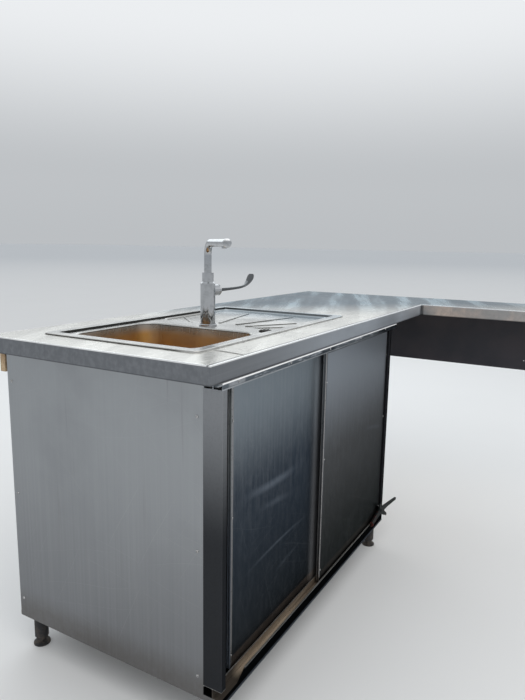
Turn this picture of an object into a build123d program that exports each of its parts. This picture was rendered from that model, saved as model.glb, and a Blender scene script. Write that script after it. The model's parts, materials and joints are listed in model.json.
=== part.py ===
from build123d import *
import math
import os

os.makedirs("parts", exist_ok=True)

# A stainless-steel sink counter for the galley of a food truck, in millimetres.
# +X runs along the counter to its serving return, +Y goes back to the wall, +Z is up.
# The origin is on the floor, under the middle of the counter's outline.

# Worktop
worktop_height = 900
run_length = 1920
run_depth = 700
return_depth = 346
return_reach = 600
nosing_height = 43
nosing_radius = 4
sheet = 2
lip_width = 12

# Cabinet under the run
cabinet_inset = 37
cabinet_width = 1118
cabinet_wall_gap = 25
panel_depth = 20
panel_sheet = 1.5
back_depth = 12
floor_height = 110
post_width = 18
post_wall = 1.5
fold_radius = 1.5
leg_inset_x = 36
leg_inset_y = 37
leg_diameter = 38
foot_diameter = 46
foot_stem_diameter = 22
foot_height = 24
foot_pad_height = 8
lock_nut_across_flats = 30
lock_nut_height = 7
leg_plate_side = 66
leg_plate_thickness = 3
leg_plate_corner = 6

# Door rails
rail_proud = 6
rail_wall = 2.5
rail_edge_radius = 1
rail_bead_height = 3
rail_bead_proud = 1.2
torn_lip_length = 104
torn_lip_lean = 35
track_pitch = 24
upper_rail_height = 15
upper_rail_overrun = 54
track_depth = 24
fascia_drop = 14

# Doors
door_width = 546
door_thickness = 11
door_skin = 1.5
door_fit = 0.2
edge_strip_width = 8
edge_groove_width = 3
edge_groove_depth = 1.5
edge_rounding = 1.5
door_end_gap = 5
door_top_gap = 5
door_track_entry = 8
left_door_opened = 61
glide_length = 46
glide_thickness = 10
glide_inset = 60
glide_chamfer = 2
running_gap = 0.3
guide_entry = 8

# Sink
sink_length = 860
sink_width = 500
sink_left = 96
sink_front = 103
sink_corner = 22
rim_width = 28
rim_height = 4
deck_drop = 2
press_sheet = 1.5
cutout_inset = 10
bowl_length = 325
bowl_width = 404
bowl_depth = 150
bowl_margin = 35
bowl_corner = 60
bowl_taper = 3
bowl_floor_radius = 22
bowl_foot_chamfer = 14
mouth_chamfer = 3
strip_width = 78
drainer_end_margin = 36
drainer_side_margin = 34
drainer_recess = 6
drainer_corner = 38
drainer_wall_slope = 40
rib_width = 9
rib_height = 2.5
rib_start = 150
waste_hole_diameter = 52

# Fan ribs of the drainer: angle from the bowl's middle line, distance of the far end
fan_ribs = [
    (-46, 290),
    (-31, 335),
    (-12, 430),
    (12, 430),
    (31, 335),
    (46, 290),
]

# Waste fitting
strainer_diameter = 72
strainer_height = 2.5
strainer_dish_margin = 6
waste_fit = 1
tail_diameter = 40
tail_drop = 70
trap_diameter = 62
trap_height = 95
trap_foot_chamfer = 6
trap_ring_diameter = 70
trap_ring_height = 16
trap_ring_rise = 40
trap_nut_diameter = 54
trap_nut_height = 18
outlet_pipe_diameter = 38
outlet_diameter = 40
outlet_bore = 35
outlet_spigot = 18
outlet_stub = 20
outlet_clearance = 2

# Tap
tap_hole_diameter = 35
tap_shank_diameter = 32
tap_flange_diameter = 54
tap_flange_height = 7
tap_body_diameter = 44
tap_body_height = 132
tap_shank_length = 46
backnut_across_flats = 46
backnut_height = 9
spout_height = 243
spout_reach = 200
spout_tube_diameter = 22
spout_bend_radius = 34
spout_azimuth = -131
spout_seat_gap = 0.3
spout_pin_diameter = 14
spout_pin_length = 18
spout_pin_fit = 0.05
collar_diameter = 34
collar_height = 26
nozzle_diameter = 24
nozzle_length = 9
nozzle_chamfer = 1.5
aerator_diameter = 15
aerator_length = 10
aerator_proud = 3
aerator_setback = 20
tap_flange_chamfer = 2
lever_azimuth = -15
lever_height = 104
lever_knuckle_diameter = 34
lever_knuckle_reach = 36
lever_boss_length = 6
lever_thickness = 7
lever_reach = 178
lever_bar_width = 12
lever_neck_width = 10
lever_paddle_width = 25
lever_paddle_length = 34
lever_bend_setback = 34
lever_bar_rise = 5
lever_tip_rise = 44
lever_bend_radius = 30
cap_hole_setback = 50
cap_diameter = 40
cap_height = 4
cap_step = 3

# Wall boards
carrier_thickness = 18
carrier_drop = 240
carrier_wall_inset = 82
carrier_end_gap = 14
cleat_thickness = 18
cleat_height = 60
screw_hole_diameter = 6
carrier_hole_spacing_y = 900
carrier_hole_spacing_z = 160

# Transit latch: arms between round ends, each end by its place from the lower rail's right end
# and its diameter
latch_thickness = 6
latch_bolt_diameter = 7
latch_foot = (-133, -2, 16)
latch_hub = (-34, 14, 26)
latch_elbow = (39, 8, 15)
latch_tip = (151, -7, 10)
latch_hook = (33, -27, 10)
latch_thumb = (-48, 42, 10)
latch_arms = [
    (latch_foot, latch_hub),
    (latch_hub, latch_elbow),
    (latch_elbow, latch_tip),
    (latch_hub, latch_hook),
    (latch_hub, latch_thumb),
]

# Derived places
total_depth = run_depth + return_reach
run_left = -run_length / 2
run_right = run_length / 2
back_y = total_depth / 2
nosing_y = back_y - run_depth
return_end_y = -total_depth / 2
return_x = run_right - return_depth
nosing_bottom = worktop_height - nosing_height
core_bottom = nosing_bottom + sheet
core_top = worktop_height - sheet

cabinet_left = run_left + cabinet_inset
cabinet_right = cabinet_left + cabinet_width
cabinet_back = back_y - cabinet_wall_gap

rail_front = nosing_y - rail_proud
rail_depth = 2 * track_pitch + rail_wall
rail_back = rail_front + rail_depth
outer_track_y = rail_front + rail_wall / 2 + track_pitch / 2
inner_track_y = outer_track_y + track_pitch
upper_rail_bottom = nosing_bottom - upper_rail_height
track_floor = floor_height + rail_wall
lower_rail_top = floor_height + track_depth
fascia_bottom = floor_height - fascia_drop

door_bottom = lower_rail_top - door_track_entry
door_top = upper_rail_bottom - door_top_gap
opening_left = cabinet_left + post_width
opening_right = cabinet_right - post_width
left_door_x = opening_left + door_end_gap + left_door_opened
right_door_x = opening_right - door_end_gap - door_width

sink_x0 = run_left + sink_left
sink_y0 = nosing_y + sink_front
sink_x = sink_x0 + sink_length / 2
sink_y = sink_y0 + sink_width / 2
deck_top = worktop_height - deck_drop
deck_bottom = deck_top - press_sheet
bowl_x0 = sink_x0 + bowl_margin
bowl_x = bowl_x0 + bowl_length / 2
bowl_right = bowl_x0 + bowl_length
bowl_bottom = deck_top - bowl_depth
drainer_x0 = bowl_right + strip_width
drainer_x1 = sink_x0 + sink_length - drainer_end_margin
drainer_width = sink_width - 2 * drainer_side_margin
drainer_top = deck_top - drainer_recess
strip_x = bowl_right + strip_width / 2
tap_x = strip_x
tap_y = sink_y
cap_y = sink_y0 + cap_hole_setback
tap_top = deck_top + tap_body_height
spout_z = worktop_height + spout_height
lever_z = worktop_height + lever_height
trap_top = bowl_bottom - press_sheet - tail_drop
trap_bottom = trap_top - trap_height
outlet_z = trap_top - outlet_diameter

carrier_face = run_right - carrier_wall_inset
carrier_x = carrier_face - carrier_thickness


# A box from its low corner to its high corner
def block(x0, y0, z0, x1, y1, z1):
    box = Box(x1 - x0, y1 - y0, z1 - z0, align=(Align.MIN, Align.MIN, Align.MIN))
    return Pos(x0, y0, z0) * box


# An upright cylinder standing on a point
def disc(x, y, z, diameter, height):
    base = (Align.CENTER, Align.CENTER, Align.MIN)
    return Pos(x, y, z) * Cylinder(diameter / 2, height, align=base)


# A rectangle with round corners, raised from z0 to z1
def slab(x, y, length, width, corner, z0, z1):
    outline = Pos(x, y, z0) * RectangleRounded(length, width, corner)
    return extrude(outline, z1 - z0, dir=(0, 0, 1))


# A solid of revolution from radius and height pairs, standing on a point
def turned(x, y, z, profile):
    outline = make_face(Polyline(*profile, close=True))
    return Pos(x, y, z) * revolve(Plane.XZ * outline, Axis.Z)


# A flat outline, drawn with depth across and height up, run along the counter
def run_along(outline, x0, x1):
    return Pos(x0, 0, 0) * extrude(Plane.YZ * outline, x1 - x0)


# A flat rectangle from its low corner to its high corner
def plate(a0, b0, a1, b1):
    return Pos((a0 + a1) / 2, (b0 + b1) / 2) * Rectangle(a1 - a0, b1 - b0)


# A flat arm between two round ends, each given by its place and diameter
def rounded_arm(near, far):
    rims = []
    for x, z, diameter in (near, far):
        rims += (Pos(x, z) * Circle(diameter / 2)).edges()
    return make_hull(rims)


# The edges of a solid that run along one axis and lie furthest out along another.
# The side is 0 for the low end and -1 for the high end.
def outer_edges(solid, run_axis, out_axis, side):
    return solid.edges().filter_by(run_axis).group_by(out_axis)[side]


def save(solid, name):
    solid.label = name
    export_step(solid, f"parts/{name}.step")
    print(name, round(solid.volume))


# The L-shaped outline of the top, drawn in by an inset on its nosed sides
def top_outline(inset, back, z0, z1):
    corners = [
        (run_left + inset, back),
        (run_left + inset, nosing_y + inset),
        (return_x + inset, nosing_y + inset),
        (return_x + inset, return_end_y + inset),
        (run_right - inset, return_end_y + inset),
        (run_right - inset, back),
    ]
    outline = make_face(Polyline(*corners, close=True))
    return extrude(Pos(0, 0, z0) * outline, z1 - z0, dir=(0, 0, 1))


def sink_cutout(z0, z1):
    length = sink_length - 2 * cutout_inset
    width = sink_width - 2 * cutout_inset
    return slab(sink_x, sink_y, length, width, sink_corner, z0, z1)


# The top: one folded sheet with a nosing, a turned-in lip and an open back
def worktop_sheet():
    shell = top_outline(0, back_y, nosing_bottom, worktop_height)
    top_edges = shell.edges().group_by(Axis.Z)[-1]
    nosed = [e for e in top_edges if e.center().Y < back_y - sheet]
    shell = fillet(nosed, nosing_radius)
    past_back = back_y + sheet
    shell -= top_outline(sheet, past_back, core_bottom, core_top)
    shell -= top_outline(sheet + lip_width, past_back, nosing_bottom, core_bottom)
    shell -= sink_cutout(core_top, worktop_height)
    return shell


def run_core():
    board = block(
        run_left + sheet, nosing_y + sheet, core_bottom, return_x + sheet, back_y, core_top
    )
    return board - sink_cutout(core_bottom, core_top)


def return_core():
    return block(
        return_x + sheet,
        return_end_y + sheet,
        core_bottom,
        run_right - sheet,
        back_y,
        core_top,
    )


# A folded tray: a flat skin with four returned edges, open on one side.
# The open side is named by the axis it faces, such as "+y".
def tray(x0, y0, z0, x1, y1, z1, metal, open_side):
    low = [x0 + metal, y0 + metal, z0 + metal]
    high = [x1 - metal, y1 - metal, z1 - metal]
    axis = "xyz".index(open_side[1])
    if open_side[0] == "+":
        high[axis] += 2 * metal
    else:
        low[axis] -= 2 * metal
    return block(x0, y0, z0, x1, y1, z1) - block(*low, *high)


def side_panel(outer_x, inward):
    x0, x1 = sorted((outer_x, outer_x + inward * panel_depth))
    facing = "+x" if inward > 0 else "-x"
    panel = tray(
        x0, rail_back, floor_height, x1, cabinet_back, core_bottom, panel_sheet, facing
    )
    outside = 0 if inward > 0 else -1
    return fillet(outer_edges(panel, Axis.Z, Axis.X, outside), fold_radius)


def waste_hole(y0, y1):
    diameter = outlet_diameter + 2 * outlet_clearance
    middle = (y0 + y1) / 2
    hole = Cylinder(diameter / 2, y1 - y0, rotation=(90, 0, 0))
    return Pos(bowl_x, middle, outlet_z) * hole


def cabinet_back_panel():
    panel = tray(
        cabinet_left + panel_depth,
        cabinet_back - back_depth,
        floor_height,
        cabinet_right - panel_depth,
        cabinet_back,
        core_bottom,
        panel_sheet,
        "-y",
    )
    return panel - waste_hole(cabinet_back - back_depth, cabinet_back + back_depth)


def cabinet_floor():
    return tray(
        cabinet_left,
        rail_front + rail_wall,
        fascia_bottom,
        cabinet_right,
        cabinet_back,
        floor_height,
        panel_sheet,
        "-z",
    )


# A front post: a folded channel between the rails, open at the back
def post(x0):
    x1 = x0 + post_width
    channel = plate(x0, rail_front, x1, rail_back)
    channel -= plate(x0 + post_wall, rail_front + post_wall, x1 - post_wall, rail_back + post_wall)
    front = channel.vertices().group_by(Axis.Y)[0]
    channel = fillet(front, fold_radius)
    return extrude(Pos(0, 0, lower_rail_top) * channel, upper_rail_bottom - lower_rail_top)


# The bead that stands proud along an edge of a rail's face
def face_bead(z0):
    return plate(rail_front - rail_bead_proud, z0, rail_front + rail_wall, z0 + rail_bead_height)


# The upper rail: a flat web with three hanging walls, its front face beaded along the bottom
def upper_rail():
    profile = plate(rail_front, nosing_bottom - rail_wall, rail_back, nosing_bottom)
    for n in range(3):
        y = rail_front + n * track_pitch
        profile += plate(y, upper_rail_bottom, y + rail_wall, nosing_bottom)
    profile += face_bead(upper_rail_bottom)
    top_front = profile.vertices().sort_by_distance((rail_front, nosing_bottom))[0]
    profile = fillet(top_front, rail_edge_radius)
    return run_along(profile, cabinet_left, cabinet_right + upper_rail_overrun)


# The lower rail: a web on the cabinet floor, three standing walls, and a deep beaded fascia.
# The lip of the fascia is torn away at the left end.
def lower_rail():
    profile = plate(rail_front, floor_height, rail_back, track_floor)
    for n in range(3):
        y = rail_front + n * track_pitch
        bottom = fascia_bottom if n == 0 else floor_height
        profile += plate(y, bottom, y + rail_wall, lower_rail_top)
    profile += face_bead(fascia_bottom) + face_bead(lower_rail_top - rail_bead_height)
    rail = run_along(profile, cabinet_left, cabinet_right)
    torn_end = cabinet_left + torn_lip_length
    torn = Polyline(
        (cabinet_left, track_floor),
        (torn_end - torn_lip_lean, track_floor),
        (torn_end, lower_rail_top),
        (cabinet_left, lower_rail_top),
        close=True,
    )
    gap = extrude(Plane.XZ * make_face(torn), rail_wall + rail_bead_proud, both=True)
    return rail - Pos(0, rail_front, 0) * gap


# A leg: plate, tube, lock nut, stem and a pad that spreads on the floor
def leg(x, y):
    top = floor_height - panel_sheet
    foot, stem, tube = foot_diameter / 2, foot_stem_diameter / 2, leg_diameter / 2
    profile = [
        (0, 0),
        (foot, 0),
        (foot, foot_pad_height / 2),
        (stem, foot_pad_height),
        (stem, foot_height),
        (tube, foot_height),
        (tube, top),
        (0, top),
    ]
    body = turned(x, y, 0, profile)
    hexagon = RegularPolygon(lock_nut_across_flats / 2, 6, major_radius=False)
    nut_bottom = foot_height - lock_nut_height
    body += extrude(Pos(x, y, nut_bottom) * hexagon, lock_nut_height)
    side, plate_bottom = leg_plate_side, top - leg_plate_thickness
    return body + slab(x, y, side, side, leg_plate_corner, plate_bottom, top)


# The doors
def door_skin_tray(x0, track_y):
    left, right = x0 + edge_strip_width, x0 + door_width - edge_strip_width
    y0 = track_y - door_thickness / 2
    y1 = y0 + door_thickness
    skin = tray(left, y0, door_bottom, right, y1, door_top, door_skin, "+y")
    return fillet(outer_edges(skin, Axis.X, Axis.Y, 0), fold_radius)


def door_backing(x0, track_y):
    y1 = track_y + door_thickness / 2
    side = edge_strip_width + door_skin + door_fit
    rise = door_skin + door_fit
    return block(
        x0 + side,
        y1 - door_skin,
        door_bottom + rise,
        x0 + door_width - side,
        y1,
        door_top - rise,
    )


# The strips that close a door's two upright edges, each grooved down its outer face
def door_edge_strips(x0, track_y):
    half_depth, half_groove = door_thickness / 2, edge_groove_width / 2
    strips = []
    for edge, outward in ((x0, -1), (x0 + door_width, 1)):
        inner = edge - outward * edge_strip_width
        groove_floor = edge - outward * edge_groove_depth
        profile = plate(*sorted_pair(edge, inner, track_y - half_depth, track_y + half_depth))
        corners = profile.vertices().group_by(Axis.X)[-1 if outward > 0 else 0]
        profile = fillet(corners, edge_rounding)
        profile -= plate(
            *sorted_pair(edge, groove_floor, track_y - half_groove, track_y + half_groove)
        )
        strips.append(extrude(Pos(0, 0, door_bottom) * profile, door_top - door_bottom))
    return Compound(children=strips)


# Corner values for a plate whose two across values may come in either order
def sorted_pair(a, b, low, high):
    return min(a, b), low, max(a, b), high


def door_fittings(x0, track_y, z0, z1):
    shoes = []
    for x in (x0 + glide_inset, x0 + door_width - glide_inset - glide_length):
        y0 = track_y - glide_thickness / 2
        shoe = block(x, y0, z0, x + glide_length, y0 + glide_thickness, z1)
        shoes.append(chamfer(shoe.edges().filter_by(Axis.Y), glide_chamfer))
    return Compound(children=shoes)


def door_glides(x0, track_y):
    return door_fittings(x0, track_y, track_floor + running_gap, door_bottom)


def door_guides(x0, track_y):
    return door_fittings(x0, track_y, door_top, upper_rail_bottom + guide_entry)


# The sink: a raised rim, a sunk deck, a deep bowl and a fan-ribbed drainer, pressed from one sheet
def sink():
    rim_top = worktop_height + rim_height
    rim = slab(sink_x, sink_y, sink_length, sink_width, sink_corner, worktop_height, rim_top)
    rim = fillet(rim.edges().group_by(Axis.Z)[-1], rim_height / 2)
    rim += deck_pan(press_sheet, deck_bottom, worktop_height)
    rim -= deck_pan(0, deck_top, rim_top)
    pressed = rim + bowl_well(press_sheet) + drainer_well(press_sheet)
    pressed -= bowl_well(0)
    pressed -= drainer_well(0)
    at_deck = pressed.edges().filter_by_position(Axis.Z, deck_top, deck_top)
    half_length, half_width = bowl_length / 2 + press_sheet, bowl_width / 2 + press_sheet
    mouth = [e for e in at_deck if abs(e.center().X - bowl_x) < half_length]
    mouth = [e for e in mouth if abs(e.center().Y - sink_y) < half_width]
    pressed = chamfer(mouth, mouth_chamfer)
    pressed += drainer_ribs()
    pressed -= disc(bowl_x, sink_y, bowl_bottom - rim_width, waste_hole_diameter, 2 * rim_width)
    for y in (tap_y, cap_y):
        pressed -= disc(strip_x, y, deck_bottom, tap_hole_diameter, press_sheet)
    return pressed


# The hollow inside the raised rim, grown by the sheet's thickness for its outside
def deck_pan(grow, z0, z1):
    length = sink_length - 2 * rim_width + 2 * grow
    width = sink_width - 2 * rim_width + 2 * grow
    return slab(sink_x, sink_y, length, width, sink_corner / 2 + grow, z0, z1)


# A pressed hollow as a solid: a round-cornered mouth drawn down with sloping walls
def well(x, y, length, width, corner, top, bottom, slope):
    mouth = Plane(origin=(x, y, top), z_dir=(0, 0, -1)) * RectangleRounded(length, width, corner)
    return extrude(mouth, top - bottom, taper=slope)


# The bowl, grown by the sheet's thickness for its outside
def bowl_well(grow):
    top = deck_bottom if grow else deck_top
    length = bowl_length + 2 * grow
    width = bowl_width + 2 * grow
    corner = bowl_corner + grow
    body = well(bowl_x, sink_y, length, width, corner, top, bowl_bottom - grow, bowl_taper)
    foot = body.edges().group_by(Axis.Z)[0]
    return chamfer(foot, bowl_foot_chamfer) if grow else fillet(foot, bowl_floor_radius)


def drainer_well(grow):
    top = deck_bottom if grow else deck_top
    middle = (drainer_x0 + drainer_x1) / 2
    length = drainer_x1 - drainer_x0 + 2 * grow
    width = drainer_width + 2 * grow
    corner = drainer_corner + grow
    bottom = drainer_top - grow
    return well(middle, sink_y, length, width, corner, top, bottom, drainer_wall_slope)


def drainer_ribs():
    ribs = None
    for angle, end in fan_ribs:
        outline = SlotOverall(end - rib_start, rib_width)
        bar = extrude(Pos((rib_start + end) / 2, 0, 0) * outline, rib_height, dir=(0, 0, 1))
        bar = Pos(bowl_right, sink_y, drainer_top) * Rot(0, 0, angle) * bar
        ribs = bar if ribs is None else ribs + bar
    return ribs


# The strainer: a flange in the bowl's floor round a shallow dish
def sink_strainer():
    flange = strainer_diameter / 2
    stem = waste_hole_diameter / 2 - waste_fit
    dish = stem - strainer_dish_margin
    profile = [
        (0, -strainer_height - press_sheet),
        (stem, -strainer_height - press_sheet),
        (stem, 0),
        (flange, 0),
        (flange, strainer_height),
        (dish, strainer_height),
        (dish, 0),
        (0, 0),
    ]
    return turned(bowl_x, sink_y, bowl_bottom, profile)


# Waste: clamping nut, tailpiece and bottle trap, with an outlet through the cabinet's back
def waste_trap():
    under_bowl = bowl_bottom - press_sheet - strainer_height
    tail, cup = tail_diameter / 2, trap_diameter / 2
    ring, nut = trap_ring_diameter / 2, trap_nut_diameter / 2
    ring_bottom = trap_bottom + trap_ring_rise
    profile = [
        (0, trap_bottom),
        (cup - trap_foot_chamfer, trap_bottom),
        (cup, trap_bottom + trap_foot_chamfer),
        (cup, ring_bottom),
        (ring, ring_bottom),
        (ring, ring_bottom + trap_ring_height),
        (cup, ring_bottom + trap_ring_height),
        (cup, trap_top),
        (nut, trap_top),
        (nut, trap_top + trap_nut_height),
        (tail, trap_top + trap_nut_height),
        (tail, under_bowl - trap_nut_height),
        (cup, under_bowl - trap_nut_height),
        (cup, under_bowl),
        (0, under_bowl),
    ]
    body = turned(bowl_x, sink_y, 0, profile)
    end = cabinet_back + outlet_stub - sink_y
    pipe, spigot = outlet_pipe_diameter / 2, outlet_diameter / 2
    shoulder = end - outlet_spigot
    outlet_profile = [
        (0, 0),
        (nut, 0),
        (nut, cup + trap_nut_height),
        (pipe, cup + trap_nut_height),
        (pipe, shoulder),
        (spigot, shoulder),
        (spigot, end),
        (0, end),
    ]
    outlet = Rot(-90, 0, 0) * turned(0, 0, 0, outlet_profile)
    body += Pos(bowl_x, sink_y, outlet_z) * outlet
    bore_length = end - cup
    bore = Cylinder(outlet_bore / 2, bore_length, rotation=(90, 0, 0))
    return body - Pos(bowl_x, sink_y + end - bore_length / 2, outlet_z) * bore


# The cover of the spare tap hole: a stepped button with a short plug
def tap_hole_cap():
    radius = cap_diameter / 2
    plug = tap_hole_diameter / 2 - waste_fit
    profile = [
        (0, -rim_height),
        (plug, -rim_height),
        (plug, 0),
        (radius, 0),
        (radius, cap_height / 2),
        (radius - cap_step, cap_height / 2),
        (radius - cap_step, cap_height),
        (0, cap_height),
    ]
    return turned(strip_x, cap_y, deck_top, profile)


# Tap: a turned pillar with its shank through the sink, and a side knuckle for the lever
def tap_body():
    flange, body = tap_flange_diameter / 2, tap_body_diameter / 2
    shank, pin = tap_shank_diameter / 2, spout_pin_diameter / 2
    collar = collar_diameter / 2
    shoulder = tap_body_height - (body - collar)
    profile = [
        (0, -tap_shank_length),
        (shank, -tap_shank_length),
        (shank, 0),
        (flange, 0),
        (flange, tap_flange_height - tap_flange_chamfer),
        (flange - tap_flange_chamfer, tap_flange_height),
        (body, tap_flange_height),
        (body, shoulder),
        (collar, tap_body_height),
        (pin, tap_body_height),
        (pin, tap_body_height + spout_pin_length),
        (0, tap_body_height + spout_pin_length),
    ]
    pillar = turned(tap_x, tap_y, deck_top, profile)
    knuckle = Cylinder(lever_knuckle_diameter / 2, lever_knuckle_reach, rotation=(0, 90, 0))
    placed = Pos(tap_x, tap_y, lever_z) * Rot(0, 0, lever_azimuth)
    return pillar + placed * Pos(lever_knuckle_reach / 2, 0, 0) * knuckle


def tap_backnut():
    under = deck_bottom - backnut_height
    hexagon = RegularPolygon(backnut_across_flats / 2, 6, major_radius=False)
    nut = extrude(Pos(tap_x, tap_y, under) * hexagon, backnut_height)
    hole = disc(tap_x, tap_y, under, tap_shank_diameter + running_gap, backnut_height)
    return nut - hole


# The elbow lever, seen from the side: a bar that rises gently, then curls up
def lever_side():
    start = lever_knuckle_reach
    path = FilletPolyline(
        (start, 0),
        (lever_reach - lever_bend_setback, lever_bar_rise),
        (lever_reach, lever_tip_rise),
        radius=lever_bend_radius,
    )
    return trace(path, lever_thickness)


# The lever from above: a bar that narrows to its neck and swells to a paddle
def lever_plan():
    neck = lever_reach - lever_paddle_length
    widths = [
        (lever_knuckle_reach, lever_bar_width),
        (neck, lever_neck_width),
        (lever_reach - lever_paddle_length / 3, lever_paddle_width),
        (lever_reach + lever_thickness, lever_bar_width),
    ]
    plan = None
    for (x0, width0), (x1, width1) in zip(widths, widths[1:]):
        arm = rounded_arm((x0, 0, width0), (x1, 0, width1))
        plan = arm if plan is None else plan + arm
    return plan


def tap_lever():
    side = extrude(Plane.XZ * lever_side(), lever_paddle_width, both=True)
    plan = extrude(lever_plan(), lever_reach, both=True)
    boss = Cylinder(lever_knuckle_diameter / 2, lever_boss_length, rotation=(0, 90, 0))
    lever = (side & plan) + Pos(lever_knuckle_reach + lever_boss_length / 2, 0, 0) * boss
    knuckle_side = lever_paddle_width
    lever -= block(
        0, -knuckle_side, -knuckle_side, lever_knuckle_reach, knuckle_side, knuckle_side
    )
    return Pos(tap_x, tap_y, lever_z) * Rot(0, 0, lever_azimuth) * lever


# The swivel spout: a collar on the pillar, a riser, a quarter bend and a level arm
def spout_turn():
    return Pos(tap_x, tap_y, 0) * Rot(0, 0, spout_azimuth)


def aerator_seat():
    bottom = spout_z - spout_tube_diameter / 2 - aerator_proud
    return disc(spout_reach - aerator_setback, 0, bottom, aerator_diameter, aerator_length)


def spout_tube():
    riser_z = tap_top + spout_seat_gap + collar_height
    path = FilletPolyline(
        (0, 0, riser_z), (0, 0, spout_z), (spout_reach, 0, spout_z), radius=spout_bend_radius
    )
    section = Plane(origin=(0, 0, riser_z), z_dir=(0, 0, 1)) * Circle(spout_tube_diameter / 2)
    return spout_turn() * (sweep(section, path=path) - aerator_seat())


def spout_aerator():
    return spout_turn() * aerator_seat()


def spout_collar():
    low = spout_seat_gap
    outer = collar_diameter / 2
    bore = spout_pin_diameter / 2 + spout_pin_fit
    pin_room = spout_pin_length + spout_pin_fit
    profile = [
        (bore, low),
        (outer, low),
        (outer, low + collar_height),
        (0, low + collar_height),
        (0, pin_room),
        (bore, pin_room),
    ]
    return turned(tap_x, tap_y, tap_top, profile)


def spout_nozzle():
    end_cap = disc(0, 0, 0, nozzle_diameter, nozzle_length)
    end_cap = chamfer(end_cap.edges().group_by(Axis.Z)[-1], nozzle_chamfer)
    return spout_turn() * Pos(spout_reach, 0, spout_z) * Rot(0, 90, 0) * end_cap


# The dark board that carries the return on the wall, with its fixing holes
def return_carrier():
    board = block(
        carrier_x,
        return_end_y + carrier_end_gap,
        core_bottom - carrier_drop,
        carrier_face,
        back_y,
        core_bottom,
    )
    middle_y = (return_end_y + carrier_end_gap + back_y) / 2
    middle_z = core_bottom - carrier_drop / 2
    hole = Cylinder(screw_hole_diameter / 2, 2 * carrier_thickness, rotation=(0, 90, 0))
    middle_x = carrier_x + carrier_thickness / 2
    for side in (-1, 1):
        for rise in (-1, 1):
            y = middle_y + side * carrier_hole_spacing_y / 2
            z = middle_z + rise * carrier_hole_spacing_z / 2
            board -= Pos(middle_x, y, z) * hole
    return board


def wall_cleat():
    bottom = core_bottom - cleat_height
    return block(cabinet_left, back_y - cleat_thickness, bottom, carrier_x, back_y, core_bottom)


# The forked catch on the lower rail's right end, cut from one plate and bolted through its foot
def transit_latch():
    outline = None
    for near, far in latch_arms:
        arm = rounded_arm(near, far)
        outline = arm if outline is None else outline + arm
    for x, z, _ in (latch_foot, latch_hub):
        outline -= Pos(x, z) * Circle(latch_bolt_diameter / 2)
    latch = extrude(Plane.XZ * outline, latch_thickness)
    return Pos(cabinet_right, rail_front - rail_bead_proud, lower_rail_top) * latch


save(worktop_sheet(), "worktop_sheet")
save(run_core(), "run_core")
save(return_core(), "return_core")
save(sink(), "sink")
save(sink_strainer(), "sink_strainer")
save(waste_trap(), "waste_trap")
save(tap_hole_cap(), "tap_hole_cap")
save(tap_body(), "tap_body")
save(tap_backnut(), "tap_backnut")
save(tap_lever(), "tap_lever")
save(spout_tube(), "spout_tube")
save(spout_collar(), "spout_collar")
save(spout_nozzle(), "spout_nozzle")
save(spout_aerator(), "spout_aerator")
save(side_panel(cabinet_left, 1), "left_side")
save(side_panel(cabinet_right, -1), "right_side")
save(cabinet_back_panel(), "cabinet_back")
save(cabinet_floor(), "cabinet_floor")
save(post(cabinet_left), "left_post")
save(post(cabinet_right - post_width), "right_post")
save(upper_rail(), "upper_rail")
save(lower_rail(), "lower_rail")
save(return_carrier(), "return_carrier")
save(wall_cleat(), "wall_cleat")
save(transit_latch(), "transit_latch")

leg_columns = (cabinet_left + leg_inset_x, cabinet_right - leg_inset_x)
leg_rows = (("front", rail_front + leg_inset_y), ("back", cabinet_back - leg_inset_y))
for row, leg_y in leg_rows:
    save(Compound(children=[leg(leg_x, leg_y) for leg_x in leg_columns]), f"{row}_legs")

doors = (("left", left_door_x, inner_track_y), ("right", right_door_x, outer_track_y))
for side, door_x, track_y in doors:
    save(door_skin_tray(door_x, track_y), f"{side}_door_skin")
    save(door_backing(door_x, track_y), f"{side}_door_backing")
    save(door_edge_strips(door_x, track_y), f"{side}_door_edge_strips")
    save(door_glides(door_x, track_y), f"{side}_door_glides")
    save(door_guides(door_x, track_y), f"{side}_door_guides")
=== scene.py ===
# %% [markdown]
# # The sink counter of a food truck
# The counter is a folded stainless top on a steel cabinet with two sliding doors. Its construction comes
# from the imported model, and nothing in it is moved here. This lesson dresses it: each surface gets its
# finish, and small pieces are added that are too fine for the construction.

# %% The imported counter
import json
import math
from functools import reduce

import bmesh
import bpy
from mathutils import Matrix, Vector


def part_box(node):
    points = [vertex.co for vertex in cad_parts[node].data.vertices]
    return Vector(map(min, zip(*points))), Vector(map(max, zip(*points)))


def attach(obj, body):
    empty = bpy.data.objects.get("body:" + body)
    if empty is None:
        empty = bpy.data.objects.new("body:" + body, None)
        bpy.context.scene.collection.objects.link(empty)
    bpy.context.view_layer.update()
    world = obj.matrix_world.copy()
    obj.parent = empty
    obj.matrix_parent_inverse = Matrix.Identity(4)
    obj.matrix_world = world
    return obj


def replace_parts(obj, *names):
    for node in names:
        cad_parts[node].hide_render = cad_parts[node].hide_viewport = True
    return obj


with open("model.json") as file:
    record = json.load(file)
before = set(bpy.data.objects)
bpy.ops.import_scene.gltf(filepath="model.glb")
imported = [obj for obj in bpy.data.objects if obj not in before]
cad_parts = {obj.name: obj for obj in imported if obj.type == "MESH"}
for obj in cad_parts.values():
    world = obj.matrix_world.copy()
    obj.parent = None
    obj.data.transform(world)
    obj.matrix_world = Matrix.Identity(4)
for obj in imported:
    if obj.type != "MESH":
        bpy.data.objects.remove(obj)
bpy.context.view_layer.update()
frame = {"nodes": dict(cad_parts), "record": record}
nodes = frame["nodes"]
scene = bpy.context.scene
mm = 0.001

# %% [markdown]
# ## Camera
# A camera can be aimed by eye or worked out from the picture. The long straight edges of a counter give good
# vanishing points, so position, aim and lens were worked out from them. The aim is written as the camera's
# own right and up directions, because two directions fix a turn without any doubt about angles.

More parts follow.
